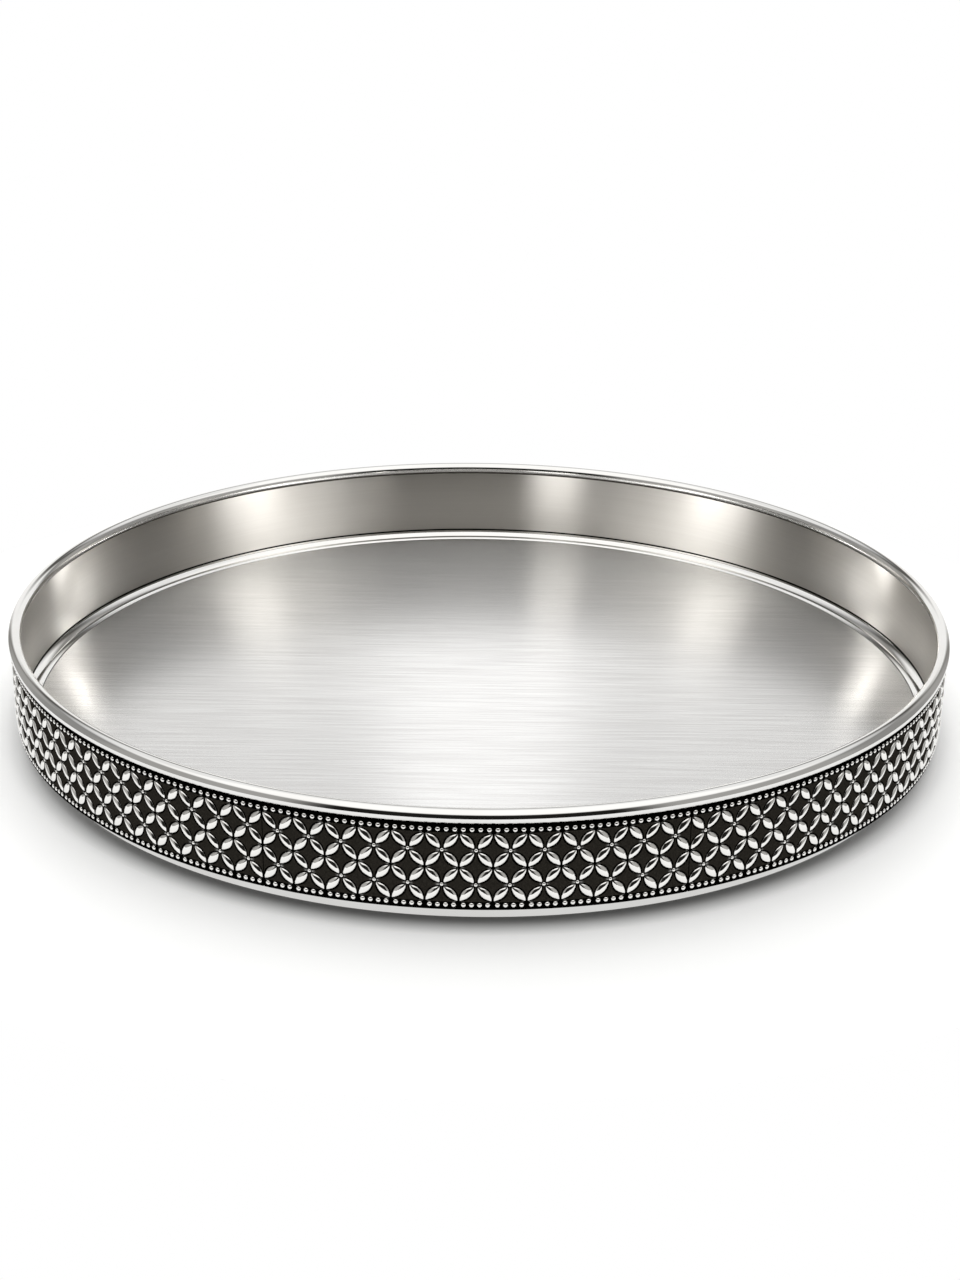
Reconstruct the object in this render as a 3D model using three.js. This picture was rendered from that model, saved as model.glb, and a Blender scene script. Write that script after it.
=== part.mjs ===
// Round gallery tray. A brushed floor lies in a low polished wall, under a round rim wire and over
// a foot ring. Eight die-struck strips go round the outside: two rows of four-petal florets between
// two rows of beads.
// Millimetres, +Z up. The origin is on the ground under the middle of the tray, and -Y is the front.

import * as THREE from 'three';

// The whole tray
const trayDiameter = 355; // across the rim wire
const trayHeight = 40.4; // ground to the top of the rim wire
const seatClearance = 0.3; // between rings that fit one inside the other

// Rim wire: round, with a step in its underside that the wall's top edge stands in
const rimWireDiameter = 5.0;
const rimStepDrop = 0.5; // the step's ceiling below the middle of the wire

// Wall hoop
const wallThickness = 1.0;

// Corner moulding: a low step on the floor, a round bead beside the wall, a flange under the wall
const mouldingWidth = 4.2;
const mouldingFlangeThickness = 0.4;
const mouldingStepHeight = 1.3;
const mouldingStepSlope = 0.2; // how far the step's inner face leans
const mouldingBeadDiameter = 2.3;
const mouldingHeight = 3.0; // floor to the top of the bead

// Floor plate
const floorThickness = 0.8;
const floorEdgeInset = 1.1; // the plate's edge inside the wall's inner face

// Foot ring
const footHeight = 4.4;
const footWidth = 3.0;
const footInset = 2.7; // the foot's outer face inside the wall's inner face
const footChamfer = 0.5;

// Ornament strips
const stripCount = 8;
const columnsPerStrip = 13;
const floretRows = 2;
const stripThickness = 1.1; // back of the strip to its ground
const stripJointGap = 0.3;
const stripEdgeMargin = 0.6; // plain edge under the lower beads
const stripTopMargin = 0.3; // plain edge over the upper beads
const beadRowHeight = 2.2;
const beadsPerColumn = 4;
const beadRelief = 0.9;
const petalRelief = 1.1;
const petalHalfWidth = 1.3;
const petalWaist = 0.5; // how far out along its length a petal is widest
const petalTipGap = 0.6; // a petal's tip to the corner of its cell
const centreBeadHalfWidth = 1.0;
const centreBeadRelief = 0.7;

// Facets of the rings. Both counts are multiples of four, so corners lie on the X and Y axes.
const rimFacets = 72;
const hoopFacets = 52;
const rimArcSteps = 9;
const mouldingArcSteps = 4;

// Radii that follow from the sizes above
const rimWireRadius = rimWireDiameter / 2;
const rimMiddleRadius = trayDiameter / 2 - rimWireRadius;
const wallOuterRadius = rimMiddleRadius - seatClearance;
const wallInnerRadius = wallOuterRadius - wallThickness;
const mouldingOuterRadius = wallInnerRadius - seatClearance;
const mouldingToeRadius = mouldingOuterRadius - mouldingWidth;
const floorRadius = wallInnerRadius - floorEdgeInset;
const footOuterRadius = wallInnerRadius - footInset;
const footInnerRadius = footOuterRadius - footWidth;
const stripBackRadius = wallOuterRadius + seatClearance;
const columnAngle = (2 * Math.PI) / (stripCount * columnsPerStrip);
const columnWidth = (stripBackRadius + stripThickness) * columnAngle;

// Heights that follow from the sizes above
const rimMiddleHeight = trayHeight - rimWireRadius;
const rimStepHeight = rimMiddleHeight - rimStepDrop;
const floorTop = footHeight + floorThickness;
const wallBottom = floorTop + mouldingFlangeThickness;
const stripBottom = wallBottom;
const stripTop = rimMiddleHeight - rimWireRadius - seatClearance;
const lowerBeadBottom = stripBottom + stripEdgeMargin;
const floretBottom = lowerBeadBottom + beadRowHeight;
const upperBeadTop = stripTop - stripTopMargin;
const floretTop = upperBeadTop - beadRowHeight;

// Finishes
const brushedSilver = { color: 0xd3d1cc, roughness: 0.38, metalness: 1.0 };
const satinSilver = { color: 0xc9c6c0, roughness: 0.24, metalness: 1.0 };
const polishedSilver = { color: 0xe4e1db, roughness: 0.1, metalness: 1.0 };
const blackenedSilver = { color: 0x8d8982, roughness: 0.3, metalness: 1.0 };

function namedPiece(name, geometry, finish) {
  const piece = new THREE.Mesh(geometry, new THREE.MeshStandardMaterial(finish));
  piece.name = name;
  return piece;
}

// A ring or disc turned about the upright axis from a half section of [radius, height] points
function turned(section, facets) {
  const profile = section.map(([radius, height]) => new THREE.Vector2(radius, height));
  const geometry = new THREE.LatheGeometry(profile, facets);
  geometry.rotateX(Math.PI / 2);
  return geometry;
}

function arcPoints(middleRadius, middleHeight, radius, startDegrees, endDegrees, steps) {
  const start = THREE.MathUtils.degToRad(startDegrees);
  const end = THREE.MathUtils.degToRad(endDegrees);
  const clockwise = endDegrees < startDegrees;
  const arc = new THREE.EllipseCurve(middleRadius, middleHeight, radius, radius, start, end, clockwise);
  return arc.getPoints(steps).map((point) => [point.x, point.y]);
}

function closedRing(section, facets) {
  return turned([...section, section[0]], facets);
}

function floorPlate() {
  const section = [
    [0, footHeight],
    [floorRadius, footHeight],
    [floorRadius, floorTop],
    [0, floorTop],
  ];
  return namedPiece('floor_plate', turned(section, hoopFacets), brushedSilver);
}

function wallHoop() {
  const section = [
    [wallInnerRadius, wallBottom],
    [wallOuterRadius, wallBottom],
    [wallOuterRadius, rimStepHeight],
    [wallInnerRadius, rimStepHeight],
  ];
  return namedPiece('wall_hoop', closedRing(section, hoopFacets), satinSilver);
}

function rimWire() {
  const stepReach = Math.sqrt(rimWireRadius ** 2 - rimStepDrop ** 2);
  const section = [
    ...arcPoints(rimMiddleRadius, rimMiddleHeight, rimWireRadius, -90, 180, rimArcSteps),
    [rimMiddleRadius - stepReach, rimStepHeight],
    [rimMiddleRadius, rimStepHeight],
  ];
  return namedPiece('rim_wire', closedRing(section, rimFacets), polishedSilver);
}

function cornerMoulding() {
  const beadRadius = mouldingBeadDiameter / 2;
  const beadMiddle = mouldingOuterRadius - beadRadius;
  const beadInner = mouldingOuterRadius - mouldingBeadDiameter;
  const beadHeight = floorTop + mouldingHeight - beadRadius;
  const stepTop = floorTop + mouldingStepHeight;
  const overBead = arcPoints(beadMiddle, beadHeight, beadRadius, 0, 180, mouldingArcSteps);
  const section = [
    [mouldingToeRadius, floorTop],
    [wallOuterRadius, floorTop],
    [wallOuterRadius, wallBottom],
    [mouldingOuterRadius, wallBottom],
    ...overBead,
    [beadInner, stepTop],
    [mouldingToeRadius + mouldingStepSlope, stepTop],
  ];
  return namedPiece('corner_moulding', closedRing(section, hoopFacets), polishedSilver);
}

function footRing() {
  const section = [
    [footInnerRadius, 0],
    [footOuterRadius - footChamfer, 0],
    [footOuterRadius, footChamfer],
    [footOuterRadius, footHeight],
    [footInnerRadius, footHeight],
  ];
  return namedPiece('foot_ring', closedRing(section, hoopFacets), polishedSilver);
}

// The face of a strip is drawn flat: column counts columns from the strip's middle to the right,
// height is above the ground, and relief is the distance out from the strip's back.
function facePoint(column, height, relief = stripThickness) {
  return { column, height, relief };
}

// Bends a point of the flat drawing round the wall
function bent(point) {
  const angle = point.column * columnAngle;
  const radius = stripBackRadius + point.relief;
  return [radius * Math.sin(angle), -radius * Math.cos(angle), point.height];
}

function addTriangle(corners, a, b, c) {
  corners.push(...bent(a), ...bent(b), ...bent(c));
}

function addQuad(corners, a, b, c, d) {
  addTriangle(corners, a, b, c);
  addTriangle(corners, a, c, d);
}

// Fills between two points and a chain of points that runs from beside `second` back to beside
// `first`. The loop first, second, chain is counter-clockwise as seen from outside the tray.
function addFan(corners, first, second, chain) {
  const pivot = Math.floor(chain.length / 2);
  for (let index = 0; index + 1 < chain.length; index += 1) {
    addTriangle(corners, index < pivot ? second : first, chain[index], chain[index + 1]);
  }
  addTriangle(corners, first, second, chain[pivot]);
}

// Four-sided point over a closed loop of base points, used for petals and beads alike
function addPyramid(corners, base, apex) {
  base.forEach((point, index) => {
    addTriangle(corners, point, base[(index + 1) % base.length], apex);
  });
}

// Edge of a column, counted in columns from the strip's middle. The strip's two ends are drawn in
// by half of the joint gap.
function columnEdge(index) {
  const endEdge = columnsPerStrip / 2 - stripJointGap / 2 / columnWidth;
  return THREE.MathUtils.clamp(index - columnsPerStrip / 2, -endEdge, endEdge);
}

function rowEdgeHeight(row) {
  return THREE.MathUtils.lerp(floretBottom, floretTop, row / floretRows);
}

// Points along one column's edge of a bead row, from left to right
function beadStops(columnIndex, height) {
  const left = columnEdge(columnIndex);
  const right = columnEdge(columnIndex + 1);
  const stops = [];
  for (let bead = 0; bead <= beadsPerColumn; bead += 1) {
    stops.push(facePoint(THREE.MathUtils.lerp(left, right, bead / beadsPerColumn), height));
  }
  return stops;
}

// The flat ground between one petal and the next one counter-clockwise, out to the cell's edge
function addGround(corners, petal, next, edge) {
  addFan(corners, next.right, petal.left, [petal.tip, ...edge, next.tip]);
  addQuad(corners, petal.root, petal.left, next.right, next.root);
}

// One floret: a centre bead, four petals that point at the corners of its cell, and the ground
// between them. The cell's lower and upper edges are lists of points, so they can meet bead stops.
function addFloret(corners, lowerEdge, upperEdge) {
  const [lowerLeft, lowerRight] = [lowerEdge[0], lowerEdge.at(-1)];
  const [upperLeft, upperRight] = [upperEdge[0], upperEdge.at(-1)];
  const middleColumn = (lowerLeft.column + lowerRight.column) / 2;
  const middleHeight = (lowerLeft.height + upperLeft.height) / 2;
  const petals = [upperRight, upperLeft, lowerLeft, lowerRight].map((cellCorner) => {
    const reachX = (cellCorner.column - middleColumn) * columnWidth;
    const reachY = cellCorner.height - middleHeight;
    const reach = Math.hypot(reachX, reachY);
    const along = { x: reachX / reach, y: reachY / reach };
    const at = (out, side, relief) => facePoint(
      middleColumn + (along.x * out - along.y * side) / columnWidth,
      middleHeight + along.y * out + along.x * side,
      stripThickness + relief,
    );
    const tipReach = reach - petalTipGap;
    const waistReach = THREE.MathUtils.lerp(centreBeadHalfWidth, tipReach, petalWaist);
    return {
      root: at(centreBeadHalfWidth, 0, 0),
      right: at(waistReach, -petalHalfWidth, 0),
      tip: at(tipReach, 0, 0),
      left: at(waistReach, petalHalfWidth, 0),
      top: at(waistReach, 0, petalRelief),
    };
  });
  for (const petal of petals) {
    addPyramid(corners, [petal.root, petal.right, petal.tip, petal.left], petal.top);
  }
  const centreTop = facePoint(middleColumn, middleHeight, stripThickness + centreBeadRelief);
  addPyramid(corners, petals.map((petal) => petal.root), centreTop);
  addGround(corners, petals[0], petals[1], upperEdge.toReversed());
  addGround(corners, petals[1], petals[2], [upperLeft, lowerLeft]);
  addGround(corners, petals[2], petals[3], lowerEdge);
  addGround(corners, petals[3], petals[0], [lowerRight, upperRight]);
}

function addBeads(corners, lowerStops, upperStops) {
  for (let bead = 0; bead < beadsPerColumn; bead += 1) {
    const base = [lowerStops[bead], lowerStops[bead + 1], upperStops[bead + 1], upperStops[bead]];
    const top = facePoint(
      (base[0].column + base[1].column) / 2,
      (base[0].height + base[2].height) / 2,
      stripThickness + beadRelief,
    );
    addPyramid(corners, base, top);
  }
}

// A point of the strip's back or face on one of its edges
function backPoint(column, height) {
  return facePoint(column, height, 0);
}

function addColumn(corners, columnIndex) {
  const left = columnEdge(columnIndex);
  const right = columnEdge(columnIndex + 1);
  const plainEdge = (height) => [facePoint(left, height), facePoint(right, height)];
  const lowerBeadLow = beadStops(columnIndex, lowerBeadBottom);
  const lowerBeadHigh = beadStops(columnIndex, floretBottom);
  const upperBeadLow = beadStops(columnIndex, floretTop);
  const upperBeadHigh = beadStops(columnIndex, upperBeadTop);
  addFan(corners, ...plainEdge(stripBottom), lowerBeadLow.toReversed());
  addBeads(corners, lowerBeadLow, lowerBeadHigh);
  for (let row = 0; row < floretRows; row += 1) {
    const lowest = row === 0;
    const highest = row === floretRows - 1;
    const lowerEdge = lowest ? lowerBeadHigh : plainEdge(rowEdgeHeight(row));
    const upperEdge = highest ? upperBeadLow : plainEdge(rowEdgeHeight(row + 1));
    addFloret(corners, lowerEdge, upperEdge);
  }
  addBeads(corners, upperBeadLow, upperBeadHigh);
  addFan(corners, ...plainEdge(stripTop).toReversed(), upperBeadHigh);
  const face = { low: plainEdge(stripBottom), high: plainEdge(stripTop) };
  const back = {
    low: [backPoint(left, stripBottom), backPoint(right, stripBottom)],
    high: [backPoint(left, stripTop), backPoint(right, stripTop)],
  };
  addQuad(corners, face.high[0], face.high[1], back.high[1], back.high[0]);
  addQuad(corners, back.low[0], back.low[1], face.low[1], face.low[0]);
  addQuad(corners, back.low[1], back.low[0], back.high[0], back.high[1]);
}

// The flat end of a strip: a fan from the back's lower corner over every point of the face's edge
function addEnd(corners, column, facesRight) {
  const heights = [stripBottom, lowerBeadBottom];
  for (let row = 0; row <= floretRows; row += 1) {
    heights.push(rowEdgeHeight(row));
  }
  heights.push(upperBeadTop, stripTop);
  const rim = [...heights.map((height) => facePoint(column, height)), backPoint(column, stripTop)];
  const hub = backPoint(column, stripBottom);
  for (let index = 0; index + 1 < rim.length; index += 1) {
    const [first, second] = facesRight ? [rim[index + 1], rim[index]] : [rim[index], rim[index + 1]];
    addTriangle(corners, hub, first, second);
  }
}

function ornamentStrip(stripIndex) {
  const corners = [];
  for (let columnIndex = 0; columnIndex < columnsPerStrip; columnIndex += 1) {
    addColumn(corners, columnIndex);
  }
  addEnd(corners, columnEdge(0), false);
  addEnd(corners, columnEdge(columnsPerStrip), true);
  const geometry = new THREE.BufferGeometry();
  geometry.setAttribute('position', new THREE.Float32BufferAttribute(corners, 3));
  geometry.computeVertexNormals();
  const strip = namedPiece(`ornament_strip_${stripIndex + 1}`, geometry, blackenedSilver);
  strip.rotation.z = stripIndex * columnsPerStrip * columnAngle;
  return strip;
}

const tray = new THREE.Group();
tray.add(floorPlate(), wallHoop(), rimWire(), cornerMoulding(), footRing());
for (let stripIndex = 0; stripIndex < stripCount; stripIndex += 1) {
  tray.add(ornamentStrip(stripIndex));
}

export default tray;
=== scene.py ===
import math

import bmesh
import bpy
from mathutils import Matrix, Vector


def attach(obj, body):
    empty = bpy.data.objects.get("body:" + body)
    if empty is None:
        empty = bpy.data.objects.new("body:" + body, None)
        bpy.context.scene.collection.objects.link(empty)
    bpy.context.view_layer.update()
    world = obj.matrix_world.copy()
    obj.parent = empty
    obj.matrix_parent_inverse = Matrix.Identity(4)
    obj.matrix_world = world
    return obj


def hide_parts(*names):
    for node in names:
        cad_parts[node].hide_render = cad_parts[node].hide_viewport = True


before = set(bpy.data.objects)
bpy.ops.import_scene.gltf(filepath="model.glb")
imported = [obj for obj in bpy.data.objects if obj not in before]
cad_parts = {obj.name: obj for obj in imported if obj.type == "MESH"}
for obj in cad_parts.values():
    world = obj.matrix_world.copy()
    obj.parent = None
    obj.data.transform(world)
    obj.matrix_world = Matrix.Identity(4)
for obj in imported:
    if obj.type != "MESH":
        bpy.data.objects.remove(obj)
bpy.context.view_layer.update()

# Round silver gallery tray: a brushed floor in a satin wall, under a polished rim wire, with a corner
# moulding, a foot ring and eight struck strips of florets and beads round the outside.
# Metres, +Z up, the front is -Y.

scene = bpy.context.scene
mm = 0.001
upright = (0, 0, 1)
centre = (0, 0, 0)
closeBy = 0.001 * mm  # points nearer than this are one point

tray = {
    "rimRadius": 175.0 * mm,  # axis to the middle of the rim wire
    "rimHeight": 37.9 * mm,
    "wallInner": 173.7 * mm,
    "wallOuter": 174.7 * mm,
    "floorTop": 5.2 * mm,
    "stripGround": 176.1 * mm,  # outside of the strips between their petals
    "turnSteps": 288,  # round every turned ring
    "sharpAngle": 40,  # degrees, steeper edges stay crisp
    "brushScale": 10,  # units of the brushing map in a metre
}


def linear(code):
    # an sRGB hex colour as the linear values that the sockets take
    parts = [int(code[i:i + 2], 16) / 255 for i in (1, 3, 5)]
    return [c / 12.92 if c <= 0.04045 else ((c + 0.055) / 1.055) ** 2.4 for c in parts] + [1.0]


def sine(degrees):
    return math.sin(math.radians(degrees))


def cosine(degrees):
    return math.cos(math.radians(degrees))


def addObject(name, data):
    item = bpy.data.objects.new(name, data)
    scene.collection.objects.link(item)
    return item


def meshFrom(bm, name):
    mesh = bpy.data.meshes.new(name)
    bm.to_mesh(mesh)
    bm.free()
    return mesh


def addNode(tree, kind, settings=None, inputs=None):
    # settings are the node's own options, inputs are socket values or the sockets that feed them
    node = tree.nodes.new(kind)
    for option, value in (settings or {}).items():
        setattr(node, option, value)
    for name, value in (inputs or {}).items():
        if isinstance(value, bpy.types.NodeSocket):
            tree.links.new(value, node.inputs[name])
        else:
            node.inputs[name].default_value = value
    return node


def emptyMaterial(name):
    material = bpy.data.materials.new(name)
    material.use_nodes = True
    material.node_tree.nodes.clear()
    return material, material.node_tree


# node options that many nodes share
smooth = {"interpolation_type": "SMOOTHSTEP"}
multiply = {"operation": "MULTIPLY"}
multiplyAdd = {"operation": "MULTIPLY_ADD"}
normalize = {"operation": "NORMALIZE"}
dotProduct = {"operation": "DOT_PRODUCT"}
colourMix = {"data_type": "RGBA"}
white = linear("#ffffff")


# Camera, placed by fitting the rim, foot and florets to the photograph
cameraView = {
    "elevation": 22.43,
    "roll": -0.0128,  # radians
    "distance": 804.5 * mm,
    "aim": (0.35 * mm, 0, 24.15 * mm),
    "lens": 58.42,
    "sensor": 36,  # the photograph's long side
    "clipStart": 10 * mm,
}


def placeCamera(view):
    back = Vector((0, -cosine(view["elevation"]), sine(view["elevation"])))
    up = Vector((0, sine(view["elevation"]), cosine(view["elevation"])))
    right = Vector((1, 0, 0))
    turnCos = math.cos(view["roll"])
    turnSin = math.sin(view["roll"])
    axes = Matrix((turnCos * right - turnSin * up, turnSin * right + turnCos * up, back)).transposed()
    data = bpy.data.cameras.new("photoCamera")
    data.lens = view["lens"]
    data.sensor_width = view["sensor"]
    data.clip_start = view["clipStart"]
    camera = addObject("photoCamera", data)
    camera.matrix_world = Matrix.Translation(Vector(view["aim"]) + back * view["distance"]) @ axes.to_4x4()
    scene.camera = camera


placeCamera(cameraView)
scene.view_settings.view_transform = "Standard"
print("camera placed")


# Studio. The camera sees plain white and matt surfaces are lit by a soft white dome. Metal sees a dim
# room with dark gaps, which draw its dark lines, and soft lamps, which draw its streaks. The brushed
# silver has lamps of its own, and so have the polished and the struck silver.
studio = {
    "domeLow": 0.15,  # light from the sides
    "domeHigh": 1.45,  # light from above
    "domeFrom": 0.2,  # sines of the angles between which one turns into the other
    "domeTo": 0.9,
    "horizon": 0.22,  # what metal sees low in the room
    "ceiling": 0.35,
    "ceilingFrom": 32,  # degrees
    "ceilingTo": 60,
    "below": 0.45,  # the most that metal sees under the edge of the table
    "belowFrom": -0.1,  # sines of the angles between which that limit comes in
    "belowTo": -0.35,
    "noLimit": 2.0,  # brighter than all of the room
    "shade": "#e6e1d8",  # tint of the dim parts
    # Patches of the room are listed in degrees: azimuth from -Y towards +X, inner and outer half width,
    # low edge, high edge and softness. A gap ends with the share of the light that it takes away.
    "gaps": [
        (0, 30, 46, -90, 28, 10, 0.93),
        (180, 60, 90, 34, 56, 8, 0.80),
        (110, 6, 20, -20, 36, 8, 0.50),
        (-108, 6, 20, -20, 36, 8, 0.50),
    ],
    # A lamp ends with its strength.
    "trimLamps": [
        (0, 360, 360, 44, 90, 14, 0.85),
        (90, 44, 60, -20, 34, 10, 0.20),
        (-90, 44, 60, -20, 34, 10, 0.20),
        (180, 24, 36, -30, 22, 8, 0.80),
    ],
    # A lamp on the right draws a streak on the left half of the wall, and the other way round. The last
    # three light the floor.
    "brushedLamps": [
        (67, 0, 12, 6, 60, 8, 2.50),
        (62, 4, 28, -6, 60, 8, 0.62),
        (136, 0, 4, 2, 26, 6, 12.00),
        (40, 3, 14, -6, 40, 8, 0.30),
        (-21, 0, 9, -6, 36, 8, 2.40),
        (-34, 3, 12, -6, 36, 8, 0.40),
        (-69, 0, 12, 6, 60, 8, 2.70),
        (-64, 5, 28, -6, 60, 8, 0.62),
        (-128, 0, 4, 4, 28, 6, 11.00),
        (180, 24, 44, 2, 16, 8, 1.00),
        (180, 24, 44, 24, 75, 8, 0.72),
        (180, 0, 9, 20, 75, 8, 0.39),
    ],
    "brushedRadius": 20,  # metres, of the shells that carry the lamps
    "trimRadius": 21,
}


def withinLimits(tree, limits):
    # 1 where every value is past its soft limit. A limit is the value, where it starts and where it is full.
    product = None
    for value, start, end in limits:
        fade = addNode(tree, "ShaderNodeMapRange", smooth, {0: value, 1: start, 2: end}).outputs[0]
        if product:
            fade = addNode(tree, "ShaderNodeMath", multiply, {0: product, 1: fade}).outputs[0]
        product = fade
    return product


def skyNodes(tree, direction):
    # how high a direction points, and the way it points when laid flat
    height = addNode(tree, "ShaderNodeSeparateXYZ", inputs={"Vector": direction}).outputs["Z"]
    flat = addNode(tree, "ShaderNodeVectorMath", multiply, {0: direction, 1: (1, 1, 0)}).outputs[0]
    flat = addNode(tree, "ShaderNodeVectorMath", normalize, {0: flat}).outputs[0]
    return height, flat


def skyPatch(tree, sky, azimuth, inner, outer, low, high, soft):
    # 1 inside a patch of the room, with soft edges. A patch that is all round or reaches straight up or
    # down has no edge there.
    height, flat = sky
    limits = []
    if high < 90:
        limits.append((height, sine(high + soft), sine(high)))
    if outer < 180:
        towards = (sine(azimuth), -cosine(azimuth), 0)
        facing = addNode(tree, "ShaderNodeVectorMath", dotProduct, {0: flat, 1: towards}).outputs["Value"]
        limits.append((facing, cosine(outer), cosine(inner)))
    if low > -90:
        limits.append((height, sine(low - soft), sine(low)))
    return withinLimits(tree, limits)


def buildRoom(values):
    world = bpy.data.worlds.new("studio")
    scene.world = world
    world.use_nodes = True
    world.cycles.sampling_method = "NONE"  # so each kind of ray sees only its own room
    tree = world.node_tree
    tree.nodes.clear()
    sky = skyNodes(tree, addNode(tree, "ShaderNodeTexCoord").outputs["Generated"])
    height = sky[0]
    room = addNode(tree, "ShaderNodeMapRange", smooth, {
        0: height, 1: sine(values["ceilingFrom"]), 2: sine(values["ceilingTo"]),
        3: values["horizon"], 4: values["ceiling"]}).outputs[0]
    under = addNode(tree, "ShaderNodeMapRange", inputs={
        0: height, 1: values["belowTo"], 2: values["belowFrom"],
        3: values["below"], 4: values["noLimit"]}).outputs[0]
    room = addNode(tree, "ShaderNodeMath", {"operation": "MINIMUM"}, {0: room, 1: under}).outputs[0]
    for *shape, taken in values["gaps"]:
        left = addNode(tree, "ShaderNodeMath", multiplyAdd,
                       {0: skyPatch(tree, sky, *shape), 1: -taken, 2: 1.0}).outputs[0]
        room = addNode(tree, "ShaderNodeMath", multiply, {0: room, 1: left}).outputs[0]
    tint = addNode(tree, "ShaderNodeMix", colourMix,
                   {0: room, 6: linear(values["shade"]), 7: white}).outputs[2]
    roomLight = addNode(tree, "ShaderNodeBackground", inputs={"Color": tint, "Strength": room})
    dome = addNode(tree, "ShaderNodeMapRange", smooth, {
        0: height, 1: values["domeFrom"], 2: values["domeTo"],
        3: values["domeLow"], 4: values["domeHigh"]}).outputs[0]
    domeLight = addNode(tree, "ShaderNodeBackground", inputs={"Color": white, "Strength": dome})
    backdrop = addNode(tree, "ShaderNodeBackground", inputs={"Color": white, "Strength": 1.0})
    rays = addNode(tree, "ShaderNodeLightPath").outputs
    seen = addNode(tree, "ShaderNodeMixShader", inputs={
        0: rays["Is Glossy Ray"], 1: domeLight.outputs[0], 2: roomLight.outputs[0]})
    seen = addNode(tree, "ShaderNodeMixShader", inputs={
        0: rays["Is Camera Ray"], 1: seen.outputs[0], 2: backdrop.outputs[0]})
    addNode(tree, "ShaderNodeOutputWorld", inputs={"Surface": seen.outputs[0]})


buildRoom(studio)


def hangLamps(name, radius, lamps, receivers):
    # soft lamps on a far shell round the room, which only the receivers see
    bm = bmesh.new()
    bmesh.ops.create_icosphere(bm, subdivisions=3, radius=radius)
    shell = addObject(name, meshFrom(bm, name))
    material, tree = emptyMaterial(name)
    place = addNode(tree, "ShaderNodeTexCoord").outputs["Object"]
    sky = skyNodes(tree, addNode(tree, "ShaderNodeVectorMath", normalize, {0: place}).outputs[0])
    light = 0.0
    for *shape, strength in lamps:
        light = addNode(tree, "ShaderNodeMath", multiplyAdd,
                        {0: skyPatch(tree, sky, *shape), 1: strength, 2: light}).outputs[0]
    glow = addNode(tree, "ShaderNodeEmission", inputs={"Color": white, "Strength": light})
    clear = addNode(tree, "ShaderNodeBsdfTransparent")
    both = addNode(tree, "ShaderNodeAddShader", inputs={0: glow.outputs[0], 1: clear.outputs[0]})
    addNode(tree, "ShaderNodeOutputMaterial", inputs={"Surface": both.outputs[0]})
    material.cycles.emission_sampling = "NONE"
    shell.data.materials.append(material)
    shell.visible_camera = False
    shell.visible_diffuse = False
    shell.visible_shadow = False
    group = bpy.data.collections.new(name)
    for piece in receivers:
        group.objects.link(piece)
    shell.light_linking.receiver_collection = group


def radiusNode(tree):
    # the shaded point, and its distance from the tray's axis
    place = addNode(tree, "ShaderNodeTexCoord").outputs["Object"]
    flat = addNode(tree, "ShaderNodeVectorMath", multiply, {0: place, 1: (1, 1, 0)}).outputs[0]
    out = addNode(tree, "ShaderNodeVectorMath", {"operation": "LENGTH"}, {0: flat}).outputs["Value"]
    return place, out


table = {
    "radius": 270 * mm,
    "corners": 128,
    "drop": 0.02 * mm,  # just under the foot
    "colour": "#f7f7f6",
    # The board is painted darker close to the foot, a painted shadow that deepens the contact shadow which
    # the bright metal would light up, and lifted for the camera, so that the bare table reads white. Both
    # change from the front to the sides.
    "paintedShadowFrom": 172 * mm,
    "paintedShadowTo": 184 * mm,
    "paintedShadowFront": 0.24,
    "paintedShadowSide": 0.72,
    # the lift is stronger at the sides: painted light that pales the shadow beside the tray
    "liftFront": 0.12,
    "liftSide": 0.34,
    "sideTo": 0.15,  # the front is 1, and the side's values hold from here to the back
    "mirrored": 0.96,  # how bright metal sees it
    "mirroredShare": 0.75,  # the rest of what metal sees is the board with its shadow
}


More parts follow.
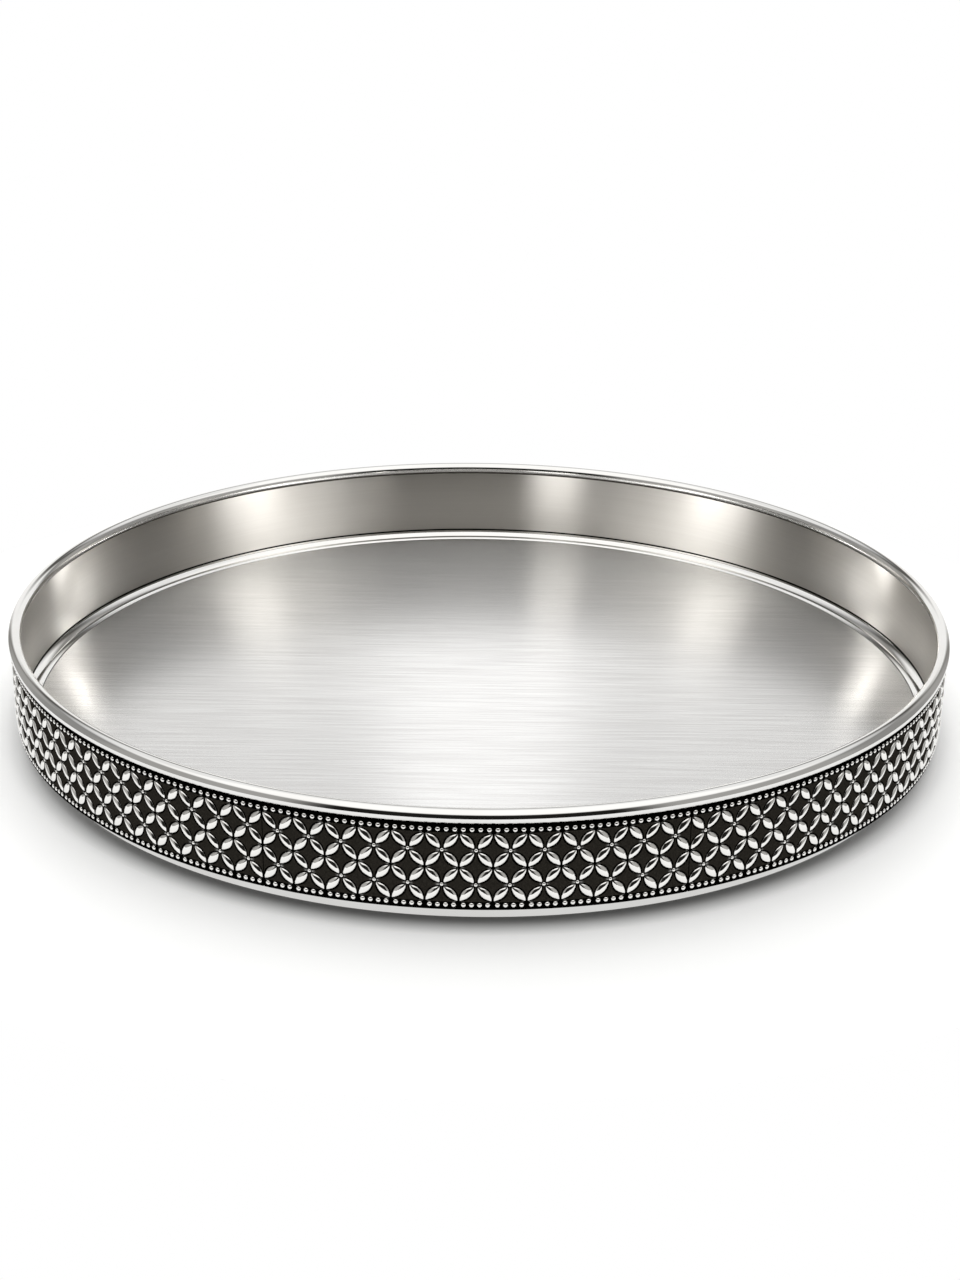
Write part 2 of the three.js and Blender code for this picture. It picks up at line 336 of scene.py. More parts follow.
def paintedBoard(values):
    # Painted board: matt and pale, so that it shows soft shadow, deepened near the foot by a painted shadow
    material, tree = emptyMaterial("paintedBoard")
    rays = addNode(tree, "ShaderNodeLightPath").outputs
    place, out = radiusNode(tree)
    facing = addNode(tree, "ShaderNodeVectorMath", dotProduct, {0: place, 1: (0, -1, 0)}).outputs["Value"]
    facing = addNode(tree, "ShaderNodeMath", {"operation": "DIVIDE"}, {0: facing, 1: out}).outputs[0]
    front = addNode(tree, "ShaderNodeMapRange", smooth, {0: facing, 1: values["sideTo"], 2: 1.0}).outputs[0]
    # painted shadow: the board darker close to the foot, most at the front
    least = addNode(tree, "ShaderNodeMapRange",
                    inputs={0: front, 3: values["paintedShadowSide"], 4: values["paintedShadowFront"]}).outputs[0]
    paintedShadow = addNode(tree, "ShaderNodeMapRange", smooth, {
        0: out, 1: values["paintedShadowFrom"], 2: values["paintedShadowTo"], 3: least, 4: 1.0}).outputs[0]
    # painted light: the camera's lift is stronger at the sides than at the front
    lift = addNode(tree, "ShaderNodeMapRange",
                   inputs={0: front, 3: values["liftSide"], 4: values["liftFront"]}).outputs[0]
    lift = addNode(tree, "ShaderNodeMath", multiplyAdd,
                   {0: rays["Is Camera Ray"], 1: lift, 2: 1.0}).outputs[0]
    shade = addNode(tree, "ShaderNodeMath", multiply, {0: paintedShadow, 1: lift}).outputs[0]
    colour = addNode(tree, "ShaderNodeVectorMath", {"operation": "SCALE"},
                     {0: linear(values["colour"])[:3], "Scale": shade}).outputs[0]
    board = addNode(tree, "ShaderNodeBsdfDiffuse", inputs={"Color": colour})
    glow = addNode(tree, "ShaderNodeEmission", inputs={"Color": white, "Strength": values["mirrored"]})
    share = addNode(tree, "ShaderNodeMath", multiply,
                    {0: rays["Is Glossy Ray"], 1: values["mirroredShare"]}).outputs[0]
    seen = addNode(tree, "ShaderNodeMixShader", inputs={0: share, 1: board.outputs[0], 2: glow.outputs[0]})
    # clear from below, so that the foot and the underside can be looked at
    back = addNode(tree, "ShaderNodeNewGeometry").outputs["Backfacing"]
    clear = addNode(tree, "ShaderNodeBsdfTransparent")
    seen = addNode(tree, "ShaderNodeMixShader", inputs={0: back, 1: seen.outputs[0], 2: clear.outputs[0]})
    addNode(tree, "ShaderNodeOutputMaterial", inputs={"Surface": seen.outputs[0]})
    return material


def layTable(values):
    bm = bmesh.new()
    bmesh.ops.create_circle(bm, cap_ends=True, segments=values["corners"], radius=values["radius"])
    bmesh.ops.translate(bm, verts=bm.verts, vec=(0, 0, -values["drop"]))
    piece = addObject("studioTable", meshFrom(bm, "studioTable"))
    piece.data.materials.append(paintedBoard(values))


layTable(table)
print("studio and table ready")


# Materials
noiseLow = 0.3  # most of a noise texture lies between these
noiseHigh = 0.7
# how much rougher the dark crevice line is
creviceRoughness = 0.4


def tarnishAndShade(tree, limits, colour, rough, shade="#1b1917"):
    # the thin dark line in a crevice: tarnish that polishing leaves there, and painted shade where the parts
    # meet
    creviceShadeMask = withinLimits(tree, limits)
    colour = addNode(tree, "ShaderNodeMix", colourMix, {0: creviceShadeMask, 6: colour, 7: linear(shade)}).outputs[2]
    rough = addNode(tree, "ShaderNodeMath", multiplyAdd,
                    {0: creviceShadeMask, 1: creviceRoughness, 2: rough}).outputs[0]
    return colour, rough


def brushLines(tree, place, scale):
    # noise drawn out into lines
    lines = addNode(tree, "ShaderNodeMapping", {"vector_type": "POINT"}, {"Vector": place, "Scale": scale})
    return addNode(tree, "ShaderNodeTexNoise", {"noise_dimensions": "3D"}, {
        "Vector": lines.outputs[0], "Scale": 1.0, "Detail": 3.0, "Roughness": 0.6}).outputs[0]


def brushedSilver():
    # Silver plate, brushed in straight lines along X: streaked, with light pulled out across the lines
    finish = {
        "silver": "#f1f1f0",
        "worn": "#e6e5e4",
        "wornFrom": 0.38,
        "wornTo": 0.62,
        "haze": 0.25,  # share of the light that the fine scratches scatter every way
        "roughness": 0.18,
        "roughnessSpread": 0.02,
        "anisotropy": 1.0,
        "lineSpacing": 1.0 * mm,  # really about 0.1 mm, drawn coarser so the lines show
        "lineLength": 45 * mm,
        "cloudScale": 12.0,  # per metre
        "cloudRoughness": 0.02,
        # painted shade, with tarnish, in the crevice where the floor meets the moulding: darker from here
        # outwards
        "tarnishAndShadeFrom": 168.75 * mm,  # radius, at the moulding's edge
        "tarnishAndShadeTo": 169.0 * mm,
        "bump": 0.03,
        "bumpDepth": 0.05 * mm,
    }
    material, tree = emptyMaterial("brushedSilverPlate")
    place, out = radiusNode(tree)
    across = 1 / finish["lineSpacing"]
    lines = brushLines(tree, place, (1 / finish["lineLength"], across, across))
    clouds = addNode(tree, "ShaderNodeTexNoise",
                     inputs={"Vector": place, "Scale": finish["cloudScale"], "Detail": 2.0}).outputs[0]
    worn = addNode(tree, "ShaderNodeMapRange",
                   inputs={0: lines, 1: finish["wornFrom"], 2: finish["wornTo"]}).outputs[0]
    colour = addNode(tree, "ShaderNodeMix", colourMix,
                     {0: worn, 6: linear(finish["silver"]), 7: linear(finish["worn"])}).outputs[2]
    rough = addNode(tree, "ShaderNodeMapRange", inputs={
        0: lines, 1: noiseLow, 2: noiseHigh, 3: finish["roughness"] - finish["roughnessSpread"],
        4: finish["roughness"] + finish["roughnessSpread"]}).outputs[0]
    rough = addNode(tree, "ShaderNodeMath", multiplyAdd,
                    {0: clouds, 1: finish["cloudRoughness"], 2: rough}).outputs[0]
    # painted crevice shade and tarnish at the moulding's edge
    colour, rough = tarnishAndShade(tree, [(out, finish["tarnishAndShadeFrom"], finish["tarnishAndShadeTo"])], colour, rough)
    bump = addNode(tree, "ShaderNodeBump",
                   inputs={"Strength": finish["bump"], "Distance": finish["bumpDepth"], "Height": lines})
    tangent = addNode(tree, "ShaderNodeTangent", {"direction_type": "UV_MAP", "uv_map": "brushing"})
    surface = addNode(tree, "ShaderNodeBsdfPrincipled", inputs={
        "Base Color": colour, "Metallic": 1 - finish["haze"], "Roughness": rough,
        "Anisotropic": finish["anisotropy"], "Normal": bump.outputs[0], "Tangent": tangent.outputs[0]})
    addNode(tree, "ShaderNodeOutputMaterial", inputs={"Surface": surface.outputs[0]})
    return material


def satinSilver():
    # Silver plate, satin polished round the wall: the light is drawn out up and down the wall
    finish = {
        "silver": "#dad7d1",
        "worn": "#d2cec8",
        "roughness": 0.30,
        "roughnessSpread": 0.01,
        "anisotropy": 1.0,
        "lineSpacing": 0.8 * mm,  # really about 0.05 mm, drawn coarser so the lines show
        "lineLength": 60 * mm,
        # painted shade, with tarnish, at the foot of the wall where the moulding meets it: darker from here
        # down
        "tarnishAndShadeFrom": 8.85 * mm,  # height, at the moulding's edge
        "tarnishAndShadeTo": 8.65 * mm,
        "bump": 0.012,
        "bumpDepth": 0.05 * mm,
    }
    material, tree = emptyMaterial("satinSilverPlate")
    place = addNode(tree, "ShaderNodeTexCoord").outputs["Object"]
    height = addNode(tree, "ShaderNodeSeparateXYZ", inputs={0: place}).outputs["Z"]
    along = 1 / finish["lineLength"]
    lines = brushLines(tree, place, (along, along, 1 / finish["lineSpacing"]))
    colour = addNode(tree, "ShaderNodeMix", colourMix,
                     {0: lines, 6: linear(finish["silver"]), 7: linear(finish["worn"])}).outputs[2]
    rough = addNode(tree, "ShaderNodeMapRange", inputs={
        0: lines, 1: noiseLow, 2: noiseHigh, 3: finish["roughness"] - finish["roughnessSpread"],
        4: finish["roughness"] + finish["roughnessSpread"]}).outputs[0]
    # painted crevice shade and tarnish at the wall's foot
    colour, rough = tarnishAndShade(tree, [(height, finish["tarnishAndShadeFrom"], finish["tarnishAndShadeTo"])], colour, rough)
    bump = addNode(tree, "ShaderNodeBump",
                   inputs={"Strength": finish["bump"], "Distance": finish["bumpDepth"], "Height": lines})
    tangent = addNode(tree, "ShaderNodeTangent", {"direction_type": "UV_MAP", "uv_map": "brushing"})
    surface = addNode(tree, "ShaderNodeBsdfPrincipled", inputs={
        "Base Color": colour, "Metallic": 1.0, "Roughness": rough, "Anisotropic": finish["anisotropy"],
        "Normal": bump.outputs[0], "Tangent": tangent.outputs[0]})
    addNode(tree, "ShaderNodeOutputMaterial", inputs={"Surface": surface.outputs[0]})
    return material


def polishedSilver():
    # Silver plate, buffed bright: nearly a mirror, with faint drawn lines round the ring
    finish = {
        "silver": "#f5f5f4",
        "worn": "#ebeae7",
        # colour of the dark line under the rim wire: tarnish and painted shade
        "tarnishAndShadeColour": "#55524d",
        "roughnessLow": 0.02,
        "roughnessHigh": 0.07,
        "lineSpacing": 0.45 * mm,
        "cloudScale": 40.0,  # per metre
        # tarnish and painted shade on the inner lower side of the rim wire, where it meets the wall
        "over": (30 * mm, 31 * mm),
        "under": (37.6 * mm, 36.5 * mm),
        "within": (174.8 * mm, 174.4 * mm),
        "bump": 0.1,
        "bumpDepth": 0.02 * mm,
    }
    material, tree = emptyMaterial("buffedSilverPlate")
    place, out = radiusNode(tree)
    height = addNode(tree, "ShaderNodeSeparateXYZ", inputs={0: place}).outputs["Z"]
    section = addNode(tree, "ShaderNodeCombineXYZ", inputs={"X": out, "Z": height}).outputs[0]
    rings = addNode(tree, "ShaderNodeTexNoise", {"noise_dimensions": "3D"}, {
        "Vector": section, "Scale": 1 / finish["lineSpacing"], "Detail": 2.0}).outputs[0]
    clouds = addNode(tree, "ShaderNodeTexNoise",
                     inputs={"Vector": place, "Scale": finish["cloudScale"], "Detail": 3.0}).outputs[0]
    colour = addNode(tree, "ShaderNodeMix", colourMix,
                     {0: clouds, 6: linear(finish["silver"]), 7: linear(finish["worn"])}).outputs[2]
    rough = addNode(tree, "ShaderNodeMapRange", inputs={
        0: clouds, 1: noiseLow, 2: noiseHigh,
        3: finish["roughnessLow"], 4: finish["roughnessHigh"]}).outputs[0]
    limits = [(height, *finish["over"]), (height, *finish["under"]), (out, *finish["within"])]
    # painted shade and tarnish in the crevice under the rim wire
    colour, rough = tarnishAndShade(tree, limits, colour, rough, finish["tarnishAndShadeColour"])
    bump = addNode(tree, "ShaderNodeBump",
                   inputs={"Strength": finish["bump"], "Distance": finish["bumpDepth"], "Height": rings})
    surface = addNode(tree, "ShaderNodeBsdfPrincipled", inputs={
        "Base Color": colour, "Metallic": 1.0, "Roughness": rough, "Normal": bump.outputs[0]})
    addNode(tree, "ShaderNodeOutputMaterial", inputs={"Surface": surface.outputs[0]})
    return material


def struckSilver():
    # Die-struck silver plate with a sulphide patina: near black in the ground, rubbed bright on the relief
    finish = {
        "silver": "#fbfaf7",
        "patina": "#040403",
        "panel": "#37342f",
        "panelFrom": 0.02 * mm,  # height over the ground
        "panelTo": 0.05 * mm,
        "rubFrom": 0.09 * mm,
        "rubTo": 0.15 * mm,
        "unevenScale": 350.0,  # per metre, of the rubbing's wavy edge
        "unevenHeight": 0.04 * mm,
        "speckle": 0.5 * mm,  # matting-tool marks
        "speckleShade": 0.55,  # how dark they are in a panel
        "groundRoughness": 0.65,
        "silverRoughness": 0.06,
        "groundBump": 0.35,
        "silverBump": 0.03,
        "bumpDepth": 0.06 * mm,
    }
    material, tree = emptyMaterial("oxidisedStruckSilver")
    place, out = radiusNode(tree)
    speckle = addNode(tree, "ShaderNodeTexNoise",
                      inputs={"Vector": place, "Scale": 1 / finish["speckle"], "Detail": 2.0}).outputs[0]
    uneven = addNode(tree, "ShaderNodeTexNoise",
                     inputs={"Vector": place, "Scale": finish["unevenScale"], "Detail": 2.0}).outputs[0]
    relief = addNode(tree, "ShaderNodeMath", {"operation": "SUBTRACT"},
                     {0: out, 1: tray["stripGround"] + finish["unevenHeight"] / 2}).outputs[0]
    relief = addNode(tree, "ShaderNodeMath", multiplyAdd,
                     {0: uneven, 1: finish["unevenHeight"], 2: relief}).outputs[0]
    rubbed = addNode(tree, "ShaderNodeMapRange", smooth,
                     {0: relief, 1: finish["rubFrom"], 2: finish["rubTo"]}).outputs[0]
    raised = addNode(tree, "ShaderNodeMapRange", smooth,
                     {0: relief, 1: finish["panelFrom"], 2: finish["panelTo"]}).outputs[0]
    mottled = addNode(tree, "ShaderNodeMapRange", inputs={
        0: speckle, 1: noiseLow, 2: noiseHigh, 3: finish["speckleShade"], 4: 1.0}).outputs[0]
    raised = addNode(tree, "ShaderNodeMath", multiply, {0: raised, 1: mottled}).outputs[0]
    dark = addNode(tree, "ShaderNodeMix", colourMix,
                   {0: raised, 6: linear(finish["patina"]), 7: linear(finish["panel"])}).outputs[2]
    colour = addNode(tree, "ShaderNodeMix", colourMix,
                     {0: rubbed, 6: dark, 7: linear(finish["silver"])}).outputs[2]
    rough = addNode(tree, "ShaderNodeMapRange", inputs={
        0: rubbed, 3: finish["groundRoughness"], 4: finish["silverRoughness"]}).outputs[0]
    strength = addNode(tree, "ShaderNodeMapRange", inputs={
        0: rubbed, 3: finish["groundBump"], 4: finish["silverBump"]}).outputs[0]
    bump = addNode(tree, "ShaderNodeBump",
                   inputs={"Strength": strength, "Distance": finish["bumpDepth"], "Height": speckle})
    surface = addNode(tree, "ShaderNodeBsdfPrincipled", inputs={
        "Base Color": colour, "Metallic": rubbed, "Roughness": rough, "Specular IOR Level": 0.0,
        "Normal": bump.outputs[0]})
    addNode(tree, "ShaderNodeOutputMaterial", inputs={"Surface": surface.outputs[0]})
    return material


finishes = {
    "brushed_floor": brushedSilver(),
    "satin_wall": satinSilver(),
    "polished_trim": polishedSilver(),
    "blackened_ornament": struckSilver(),
}
print("materials ready")


# Pieces
def placePiece(mesh, name, node, slot):
    piece = addObject(name, mesh)
    mesh.materials.append(finishes[slot])
    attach(piece, "root")
    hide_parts(node)
    print(name, len(mesh.polygons), "faces")
    return piece


def smoothFaces(bm, sharpAngle):
    bmesh.ops.recalc_face_normals(bm, faces=bm.faces)
    for face in bm.faces:
        face.smooth = True
    for edge in bm.edges:
        if len(edge.link_faces) == 2 and edge.calc_face_angle() > math.radians(sharpAngle):
            edge.smooth = False


def addPiece(bm, name, node, slot, brushing=None):
    # brushing gives a point's place across and along the brush lines
    smoothFaces(bm, tray["sharpAngle"])
    if brushing:
        layer = bm.loops.layers.uv.new("brushing")
        for face in bm.faces:
            for loop in face.loops:
                across, along = brushing(loop.vert.co)
                loop[layer].uv = (across * tray["brushScale"], along * tray["brushScale"])
    return placePiece(meshFrom(bm, name), name, node, slot)


def turnRing(bm):
    # spins the outline that bm holds once round the upright axis
    outline = bm.verts[:] + bm.edges[:]
    bmesh.ops.spin(bm, geom=outline, cent=centre, axis=upright, angle=2 * math.pi,
                   steps=tray["turnSteps"], use_merge=True)
    bmesh.ops.remove_doubles(bm, verts=bm.verts, dist=closeBy)


def raiseFaces(bm, height):
    # gives the flat face that bm holds a thickness
    raised = bmesh.ops.extrude_face_region(bm, geom=bm.faces[:])["geom"]
    raised = [item for item in raised if isinstance(item, bmesh.types.BMVert)]
    bmesh.ops.translate(bm, verts=raised, vec=(0, 0, height))


def sectionArc(radius, height, size, startDegrees, endDegrees, steps):
    turns = [startDegrees + (endDegrees - startDegrees) * i / steps for i in range(steps + 1)]
    return [(radius + size * cosine(turn), height + size * sine(turn)) for turn in turns]


def outlineFrom(points):
    bm = bmesh.new()
    corners = [bm.verts.new((radius, 0, height)) for radius, height in points]
    for first, second in zip(corners, corners[1:] + corners[:1]):
        bm.edges.new((first, second))
    return bm


rimWire = {
    "wireRadius": 2.5 * mm,
    "wireSteps": 40,
}


def makeRimWire(values):
    bm = bmesh.new()
    place = Matrix.Translation((tray["rimRadius"], 0, tray["rimHeight"]))
    stand = place @ Matrix.Rotation(math.pi / 2, 4, "X")
    bmesh.ops.create_circle(bm, segments=values["wireSteps"], radius=values["wireRadius"], matrix=stand)
    turnRing(bm)
    return addPiece(bm, "rimWire", "rim_wire", "polished_trim")


rim = makeRimWire(rimWire)

wallHoop = {
    "bottom": 5.6 * mm,
    "top": 37.4 * mm,  # inside the rim wire
    "edge": 0.15 * mm,
}


def makeWallHoop(values):
    inner = tray["wallInner"]
    outer = tray["wallOuter"]
    bm = outlineFrom([(inner, values["bottom"]), (outer, values["bottom"]),
                      (outer, values["top"]), (inner, values["top"])])
    bmesh.ops.bevel(bm, geom=bm.verts[:], affect="VERTICES", offset=values["edge"], segments=2, profile=0.5,
                    material=-1)
    turnRing(bm)
    return addPiece(bm, "wallHoop", "wall_hoop", "satin_wall",
                    brushing=lambda point: (point.z, math.atan2(point.x, point.y) * outer))


wall = makeWallHoop(wallHoop)

moulding = {
    "outer": 173.4 * mm,
    "toe": 169.2 * mm,
    "flangeTop": 5.6 * mm,
    "top": 8.05 * mm,
    # arcs of the section: radius and height of the middle, size, first and last angle, number of parts
    "ovolo": (176.65 * mm, 1.58 * mm, 7.37 * mm, 117, 140, 9),
    "crease": (170.93 * mm, 6.22 * mm),
    "step": (172.66 * mm, 1.76 * mm, 4.84 * mm, 112, 134, 7),
}


def makeMoulding(values):
    points = [(values["toe"], tray["floorTop"]), (tray["wallOuter"], tray["floorTop"]),
              (tray["wallOuter"], values["flangeTop"]), (values["outer"], values["flangeTop"]),
              (values["outer"], values["top"])]
    points += sectionArc(*values["ovolo"])
    points += [values["crease"]]
    points += sectionArc(*values["step"])
    bm = outlineFrom(points)
    turnRing(bm)
    return addPiece(bm, "cornerMoulding", "corner_moulding", "polished_trim")


corner = makeMoulding(moulding)

floorPlate = {
    "radius": 172.6 * mm,
    "bottom": 4.4 * mm,
    "edge": 0.2 * mm,
}


def makeFloor(values):
    bm = bmesh.new()
    bmesh.ops.create_circle(bm, cap_ends=True, segments=tray["turnSteps"], radius=values["radius"])
    bmesh.ops.translate(bm, verts=bm.verts, vec=(0, 0, values["bottom"]))
    raiseFaces(bm, tray["floorTop"] - values["bottom"])
    edges = [edge for edge in bm.edges if abs(edge.verts[0].co.z - edge.verts[1].co.z) < closeBy]
    bmesh.ops.bevel(bm, geom=edges, affect="EDGES", offset=values["edge"], segments=2, profile=0.5,
                    material=-1)
    return addPiece(bm, "trayFloor", "floor_plate", "brushed_floor",
                    brushing=lambda point: (point.y, point.x))


floor = makeFloor(floorPlate)

footRing = {
    "outer": 171.0 * mm,
    "inner": 168.0 * mm,
    "top": 4.4 * mm,
    "chamfer": 0.2 * mm,  # inside, at the bottom
    "round": 0.5 * mm,  # outside, at the bottom
    "roundSteps": 5,
}


def makeFoot(values):
    outer = values["outer"]
    inner = values["inner"]
    size = values["round"]
    points = [(inner, values["chamfer"]), (inner + values["chamfer"], 0)]
    points += sectionArc(outer - size, size, size, -90, 0, values["roundSteps"])
    points += [(outer, values["top"]), (inner, values["top"])]
    bm = outlineFrom(points)
    turnRing(bm)
    return addPiece(bm, "footRing", "foot_ring", "polished_trim")


foot = makeFoot(footRing)

# Struck strips. One column of the pattern is modelled at the front of the tray and repeated.
strip = {
    "count": 8,
    "columns": 13,
    "columnSteps": 4,  # of the curved ground
    "joint": 0.3 * mm,
    "back": 175.0 * mm,
    "ground": tray["stripGround"],
    "bottom": 5.6 * mm,
    "top": 35.1 * mm,
    "sharpAngle": 50,
    "lowerBeads": 7.3 * mm,  # height of the middle of each row
    "upperBeads": 33.7 * mm,
    "florets": [14.45 * mm, 26.55 * mm],
    "rowHeight": 12.1 * mm,
    "columnBeads": 4,
    "lowerSpacing": 2.52 * mm,  # lower beads stand in fours, with a slightly wider gap between the fours
    "beadRadius": 0.85 * mm,
    "centreBead": 0.68 * mm,
    "beadFlatness": 0.62,  # relief as a share of the radius
    "beadSink": 0.05 * mm,
    "beadRings": 6,
    "beadSides": 10,
    "petalStart": 0.75 * mm,  # from the floret's middle
    "petalEnd": 7.65 * mm,
    "petalHalfWidth": 1.5 * mm,
    "petalRelief": 0.85 * mm,
    "petalRise": 0.6,  # how the keel follows the width, as a power
    "petalKeel": 0.6,  # how far the flanks drop from the keel before the steep edge
    "petalSteepness": 8,  # of that edge, as a power
    "petalTip": 0.01 * mm,  # where it is narrower it stays flat
    "petalSink": 0.05 * mm,
    "petalSteps": 6,
    "petalSides": 8,
    "panelMargin": 0.5 * mm,
    "panelRelief": 0.06 * mm,
    "panelSink": 0.1 * mm,
    "panelSteps": 5,
    "panelPoint": 0.02 * mm,  # corners nearer than this are one corner
}
columnAngle = 2 * math.pi / (strip["count"] * strip["columns"])
columnWidth = strip["ground"] * columnAngle
petalAngle = math.atan2(strip["rowHeight"], columnWidth)
petalLength = strip["petalEnd"] - strip["petalStart"]


def closeHoles(bm):
    bmesh.ops.holes_fill(bm, edges=[edge for edge in bm.edges if edge.is_boundary], sides=0)


def cutAway(bm, place, direction):
    # takes off all that lies past the plane, and closes the cut
    geom = bm.verts[:] + bm.edges[:] + bm.faces[:]
    bmesh.ops.bisect_plane(bm, geom=geom, plane_co=place, plane_no=direction, clear_outer=True, dist=closeBy)
    closeHoles(bm)


def keepMesh(bm, name):
    bmesh.ops.recalc_face_normals(bm, faces=bm.faces)
    return meshFrom(bm, name)


def petalEdge(share):
    # half width of a petal at a share of its length: an arc, pointed at both ends
    return strip["petalHalfWidth"] * (1 - (2 * share - 1) ** 2)


def petalTemplate():
    # lies along X with its relief along Z
    steps = strip["petalSteps"]
    bm = bmesh.new()
    chain = [bm.verts.new((petalLength * i / steps, petalEdge(i / steps), 0)) for i in range(steps + 1)]
    for first, second in zip(chain, chain[1:]):
        bm.edges.new((first, second))
    bmesh.ops.spin(bm, geom=bm.verts[:] + bm.edges[:], cent=centre, axis=(1, 0, 0), angle=math.pi,
                   steps=strip["petalSides"])
    bmesh.ops.remove_doubles(bm, verts=bm.verts, dist=closeBy)
    for vert in bm.verts:
        width = petalEdge(vert.co.x / petalLength)
        if width > strip["petalTip"]:
            across = min(1, abs(vert.co.y) / width)
            crest = strip["petalRelief"] * (width / strip["petalHalfWidth"]) ** strip["petalRise"]
            flank = 1 - strip["petalKeel"] * across
            vert.co.z = crest * flank * (1 - across ** strip["petalSteepness"])
    closeHoles(bm)
    bmesh.ops.translate(bm, verts=bm.verts, vec=(strip["petalStart"], 0, -strip["petalSink"]))
    return keepMesh(bm, "petalShape")


def beadTemplate(radius):
    bm = bmesh.new()
    bmesh.ops.create_uvsphere(bm, u_segments=strip["beadSides"], v_segments=strip["beadRings"],
                              radius=radius)
    cutAway(bm, centre, (0, 0, -1))
    bmesh.ops.scale(bm, verts=bm.verts, vec=(1, 1, strip["beadFlatness"]))
    bmesh.ops.translate(bm, verts=bm.verts, vec=(0, 0, -strip["beadSink"]))
    return keepMesh(bm, "beadShape")


def panelTemplate(upwards, cut=None):
    # the plain lozenge between four petals, centred on the middle of a cell's side
    steps = strip["panelSteps"]
    turnCos = math.cos(petalAngle)
    turnSin = math.sin(petalAngle)
    side = 1 if upwards else -1
    quarter = []
    for i in range(steps + 1):
        along = strip["petalStart"] + petalLength * i / steps
        off = (petalEdge(i / steps) + strip["panelMargin"]) * side
        quarter.append((along * turnCos - off * turnSin, along * turnSin + off * turnCos))
    if upwards:
        quarter = [(x, max(0, strip["rowHeight"] / 2 - y)) for x, y in reversed(quarter)]
    else:
        quarter = [(max(0, columnWidth / 2 - x), y) for x, y in quarter]
    outline = quarter + [(-x, y) for x, y in reversed(quarter)]
    outline += [(-x, -y) for x, y in quarter] + [(x, -y) for x, y in reversed(quarter)]
    bm = bmesh.new()
    bm.faces.new([bm.verts.new((x, y, -strip["panelSink"])) for x, y in outline])
    bmesh.ops.remove_doubles(bm, verts=bm.verts, dist=strip["panelPoint"])
    raiseFaces(bm, strip["panelSink"] + strip["panelRelief"])
    if cut:
        cutAway(bm, *cut)
    return keepMesh(bm, "panelShape")


def stampShape(bm, shape, across, height, turn=0.0):
    # sets a flat-drawn shape on the ground of the strip, across from the column in the middle
    first = len(bm.verts)
    bm.from_mesh(shape)
    bm.verts.ensure_lookup_table()
    around = Matrix.Rotation(across / strip["ground"], 4, "Z")
    stand = Matrix.Translation((0, -strip["ground"], height)) @ Matrix.Rotation(math.pi / 2, 4, "X")
    place = around @ stand @ Matrix.Rotation(turn, 4, "Z")
    bmesh.ops.transform(bm, matrix=place, verts=bm.verts[first:])


def repeatColumns(bm, count):
    # turns copies of all that bm holds towards +X, and centres the row on the front
    sweep = columnAngle * (count - 1)
    bmesh.ops.spin(bm, geom=bm.verts[:] + bm.edges[:] + bm.faces[:], cent=centre, axis=upright,
                   angle=sweep, steps=count - 1, use_duplicate=True)
    bmesh.ops.rotate(bm, verts=bm.verts, cent=centre, matrix=Matrix.Rotation(-sweep / 2, 3, "Z"))


def stripGround(values):
    corners = [(values["back"], values["bottom"]), (values["ground"], values["bottom"]),
               (values["ground"], values["top"]), (values["back"], values["top"])]
    sweep = columnAngle * values["columns"] - values["joint"] / values["ground"]
    bm = bmesh.new()
    section = bm.faces.new([bm.verts.new((0, -radius, height)) for radius, height in corners])
    bmesh.ops.rotate(bm, verts=bm.verts, cent=centre, matrix=Matrix.Rotation(-sweep / 2, 3, "Z"))
    bmesh.ops.spin(bm, geom=[section] + bm.verts[:] + bm.edges[:], cent=centre, axis=upright,
                   angle=sweep, steps=values["columns"] * values["columnSteps"])
    return bm


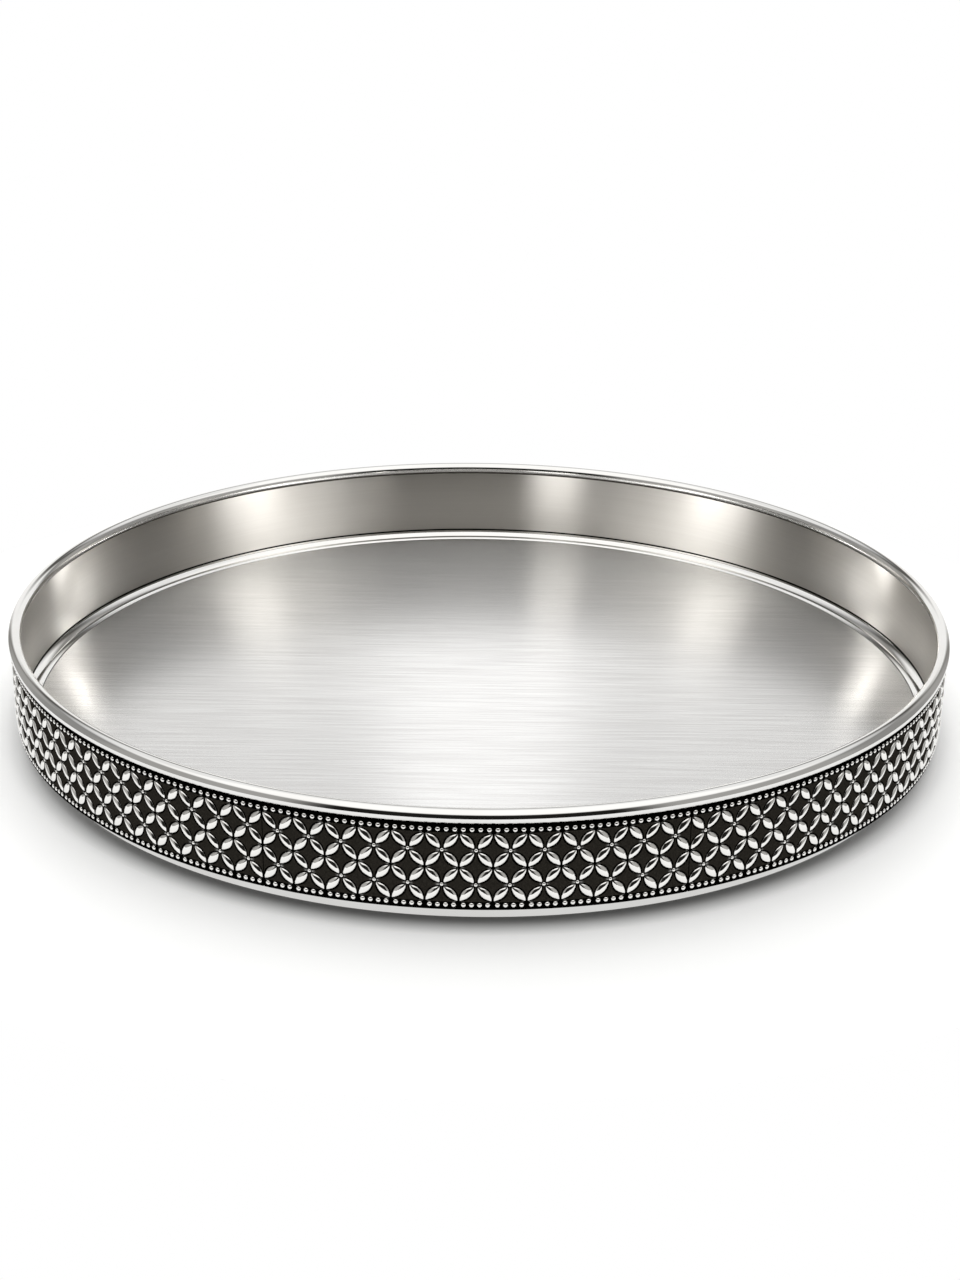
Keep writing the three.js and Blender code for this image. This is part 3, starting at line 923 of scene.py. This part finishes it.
def stripColumns(values, shapes):
    # florets, beads and the panels over, between and under the florets
    bm = bmesh.new()
    for height in values["florets"]:
        stampShape(bm, shapes["centreBead"], 0, height)
        for turn in (petalAngle, math.pi - petalAngle, math.pi + petalAngle, -petalAngle):
            stampShape(bm, shapes["petal"], 0, height, turn)
    for index in range(values["columnBeads"]):
        step = index - (values["columnBeads"] - 1) / 2
        stampShape(bm, shapes["bead"], step * columnWidth / values["columnBeads"], values["upperBeads"])
        stampShape(bm, shapes["bead"], step * values["lowerSpacing"], values["lowerBeads"])
    lower, upper = values["florets"]
    stampShape(bm, shapes["middlePanel"], 0, (lower + upper) / 2)
    stampShape(bm, shapes["lowerPanel"], 0, lower - values["rowHeight"] / 2)
    stampShape(bm, shapes["upperPanel"], 0, upper + values["rowHeight"] / 2)
    repeatColumns(bm, values["columns"])
    return bm


def stripSeams(values, shapes):
    # the panels between two columns, and a half panel at each end of the strip
    bm = bmesh.new()
    for height in values["florets"]:
        stampShape(bm, shapes["sidePanel"], 0, height)
    repeatColumns(bm, values["columns"] - 1)
    reach = columnWidth * values["columns"] / 2
    for height in values["florets"]:
        stampShape(bm, shapes["leftPanel"], reach, height)
        stampShape(bm, shapes["rightPanel"], -reach, height)
    return bm


def makeStrips(values):
    gap = values["joint"] / 2
    shapes = {
        "petal": petalTemplate(),
        "bead": beadTemplate(values["beadRadius"]),
        "centreBead": beadTemplate(values["centreBead"]),
        "sidePanel": panelTemplate(False),
        "middlePanel": panelTemplate(True),
        "lowerPanel": panelTemplate(True, cut=(centre, (0, -1, 0))),
        "upperPanel": panelTemplate(True, cut=(centre, (0, 1, 0))),
        "leftPanel": panelTemplate(False, cut=((-gap, 0, 0), (1, 0, 0))),
        "rightPanel": panelTemplate(False, cut=((gap, 0, 0), (-1, 0, 0))),
    }
    whole = bmesh.new()
    for part in (stripGround(values), stripColumns(values, shapes), stripSeams(values, shapes)):
        mesh = keepMesh(part, "stripPart")
        whole.from_mesh(mesh)
        bpy.data.meshes.remove(mesh)
    smoothFaces(whole, values["sharpAngle"])
    pattern = meshFrom(whole, "stripPattern")
    pieces = []
    for index in range(values["count"]):
        name = f"floretStrip{index + 1}"
        mesh = pattern.copy()
        mesh.name = name
        mesh.transform(Matrix.Rotation(2 * math.pi * index / values["count"], 4, "Z"))
        pieces.append(placePiece(mesh, name, f"ornament_strip_{index + 1}", "blackened_ornament"))
    for shape in [pattern, *shapes.values()]:
        bpy.data.meshes.remove(shape)
    return pieces


strips = makeStrips(strip)
print("pieces ready")

hangLamps("brushedLamps", studio["brushedRadius"], studio["brushedLamps"], [floor, wall])
hangLamps("trimLamps", studio["trimRadius"], studio["trimLamps"], [rim, corner, foot] + strips)
print("lamps hung")
